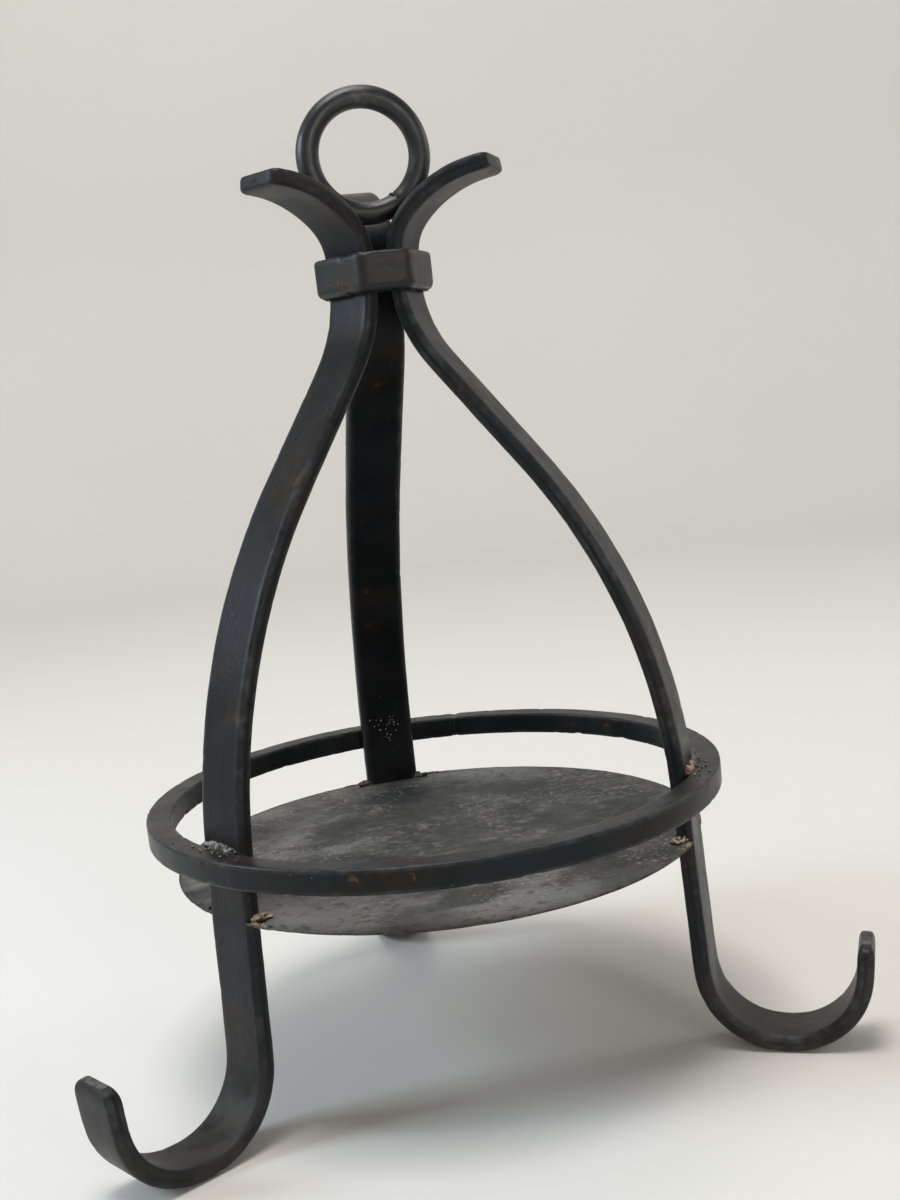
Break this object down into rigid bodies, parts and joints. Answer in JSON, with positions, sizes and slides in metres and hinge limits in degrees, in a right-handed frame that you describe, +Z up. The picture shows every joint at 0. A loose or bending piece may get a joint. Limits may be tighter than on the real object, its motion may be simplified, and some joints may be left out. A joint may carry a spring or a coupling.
{
  "type": "wrought iron tripod stand",
  "caption": "Hand-forged tripod stand with petal top, carrying ring, binding band, outer hoop, round plate and upturned hooked feet.",
  "frame": {"origin": "middle of the footprint, on the floor", "axes": "+Z up, +Y towards the rear foot, +X to the right as seen from the front"},
  "size_m": [0.316, 0.2958, 0.3968],
  "materials": {
    "forged_iron": "black-finished forged iron, satin, worn brighter along its edges",
    "plate_iron": "black iron sheet, dull and dusty, pitted and scratched",
    "weld_metal": "lumpy weld bead with light rust"
  },
  "bodies": {
    "root": {"leg_rear": "forged_iron", "leg_left": "forged_iron", "leg_right": "forged_iron", "hoop": "forged_iron", "band": "forged_iron", "top_ring": "forged_iron", "plate": "plate_iron", "weld_hoop_top_rear": "weld_metal", "weld_hoop_top_left": "weld_metal", "weld_hoop_top_right": "weld_metal", "weld_hoop_under_rear": "weld_metal", "weld_hoop_under_left": "weld_metal", "weld_hoop_under_right": "weld_metal", "weld_plate_rear_a": "weld_metal", "weld_plate_rear_b": "weld_metal", "weld_plate_left_a": "weld_metal", "weld_plate_left_b": "weld_metal", "weld_plate_right_a": "weld_metal", "weld_plate_right_b": "weld_metal", "weld_ring_left": "weld_metal", "weld_ring_right": "weld_metal", "weld_hoop_joint": "weld_metal", "weld_ring_joint": "weld_metal"}
  },
  "joints": []
}
